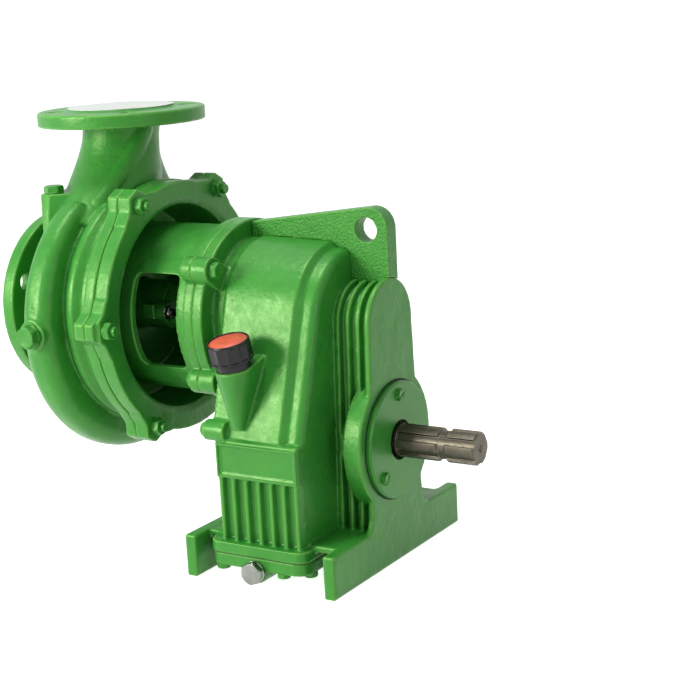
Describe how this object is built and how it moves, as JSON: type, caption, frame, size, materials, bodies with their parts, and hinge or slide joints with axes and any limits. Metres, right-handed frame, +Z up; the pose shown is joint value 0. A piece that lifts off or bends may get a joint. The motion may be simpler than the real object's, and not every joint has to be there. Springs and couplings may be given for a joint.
{
  "type": "centrifugal pump",
  "caption": "Tractor-driven centrifugal pump: spiral casing with flanged ports, open lantern, ribbed step-up gearbox on foot bars, splined input shaft and lifting plate.",
  "frame": {"origin": "centre of the sole of the foot bar at the tractor end, under the splined shaft", "axes": "+X along both shafts towards the tractor, +Y across, +Z up"},
  "size_m": [0.5389, 0.3361, 0.4722],
  "materials": {
    "green_paint": "satin paint over rough casting",
    "green_paint_smooth": "satin paint over machined or drawn metal",
    "machined_steel": "machined",
    "dark_steel": "oiled, phosphate brown-grey",
    "ground_steel": "ground",
    "zinc_steel": "zinc plated",
    "grey_iron": "as cast",
    "bronze": "machined",
    "black_rubber": "matt",
    "gasket_paper": "matt fibre",
    "packing_fibre": "greased braid",
    "black_plastic": "moulded",
    "red_plastic": "moulded",
    "white_plastic": "film"
  },
  "bodies": {
    "casing": {"gearbox_casing": "green_paint", "lifting_plate": "green_paint_smooth", "sump_cover": "green_paint", "sump_gasket": "gasket_paper", "sump_screws": "green_paint_smooth", "drain_washer": "zinc_steel", "drain_plug": "zinc_steel", "level_plug": "green_paint_smooth", "bearing_cover": "green_paint_smooth", "bearing_cover_screws": "green_paint_smooth", "rear_bearing_cap": "green_paint_smooth", "pto_shaft_seal": "black_rubber", "pump_shaft_seal": "black_rubber", "wear_ring": "bronze", "lantern": "green_paint", "packing_rings": "packing_fibre", "gland_studs": "zinc_steel", "volute_casing": "green_paint", "top_plug": "green_paint_smooth", "side_plug": "green_paint_smooth", "neck_plug": "green_paint_smooth", "lantern_bolts": "green_paint_smooth", "lantern_nuts": "green_paint_smooth", "casing_studs": "green_paint_smooth", "casing_nuts": "green_paint_smooth", "filler_collar": "black_plastic", "pto_front_bearing_outer": "ground_steel", "pto_front_bearing_rollers": "ground_steel", "pto_rear_bearing_outer": "ground_steel", "pto_rear_bearing_rollers": "ground_steel", "pinion_bearing_outer": "ground_steel", "pinion_bearing_rollers": "ground_steel", "lantern_bearing_outer": "ground_steel", "lantern_bearing_rollers": "ground_steel"},
    "pto_shaft_line": {"pto_shaft": "dark_steel", "drive_gear": "machined_steel", "drive_gear_key": "machined_steel", "pto_front_bearing_inner": "ground_steel", "pto_rear_bearing_inner": "ground_steel"},
    "pump_shaft_line": {"pump_shaft": "machined_steel", "pinion": "machined_steel", "pinion_bearing_inner": "ground_steel", "lantern_bearing_inner": "ground_steel", "deflector_ring": "black_rubber", "shaft_sleeve": "ground_steel", "impeller": "grey_iron", "impeller_key": "machined_steel", "impeller_nut": "bronze"},
    "gland": {"gland_follower": "green_paint_smooth", "gland_nuts": "zinc_steel"},
    "cap_seal": {"filler_cap_seal": "black_rubber"},
    "cap": {"filler_cap": "black_plastic", "filler_cap_disc": "red_plastic"},
    "port_cover": {"port_cover": "white_plastic"}
  },
  "joints": [
    {"name": "pto_spin", "type": "hinge", "parent": "casing", "child": "pto_shaft_line", "pos_m": [0, 0, 0.131], "axis": [1, 0, 0], "continuous": true},
    {"name": "pump_spin", "type": "hinge", "parent": "casing", "child": "pump_shaft_line", "pos_m": [0, 0, 0.256], "axis": [1, 0, 0], "continuous": true},
    {"name": "gland_slide", "type": "slide", "parent": "casing", "child": "gland", "axis": [1, 0, 0], "range_m": [0, 0.008]},
    {"name": "cap_turn", "type": "hinge", "parent": "casing", "child": "cap_seal", "pos_m": [-0.107, -0.1185, 0.2255], "axis": [-0.0597, -0.2079, 0.9763], "range_deg": [0, 1080]},
    {"name": "cap_lift", "type": "slide", "parent": "cap_seal", "child": "cap", "axis": [-0.0597, -0.2079, 0.9763], "range_m": [0, 0.012]},
    {"name": "port_cover_lift", "type": "slide", "parent": "casing", "child": "port_cover", "axis": [0, 0, 1], "range_m": [0, 0.25]}
  ],
  "couplings": [
    {"joint": "pump_spin", "follows": "pto_spin", "ratio": -4},
    {"joint": "cap_lift", "follows": "cap_turn", "m_per_rad": 0.00063662}
  ]
}
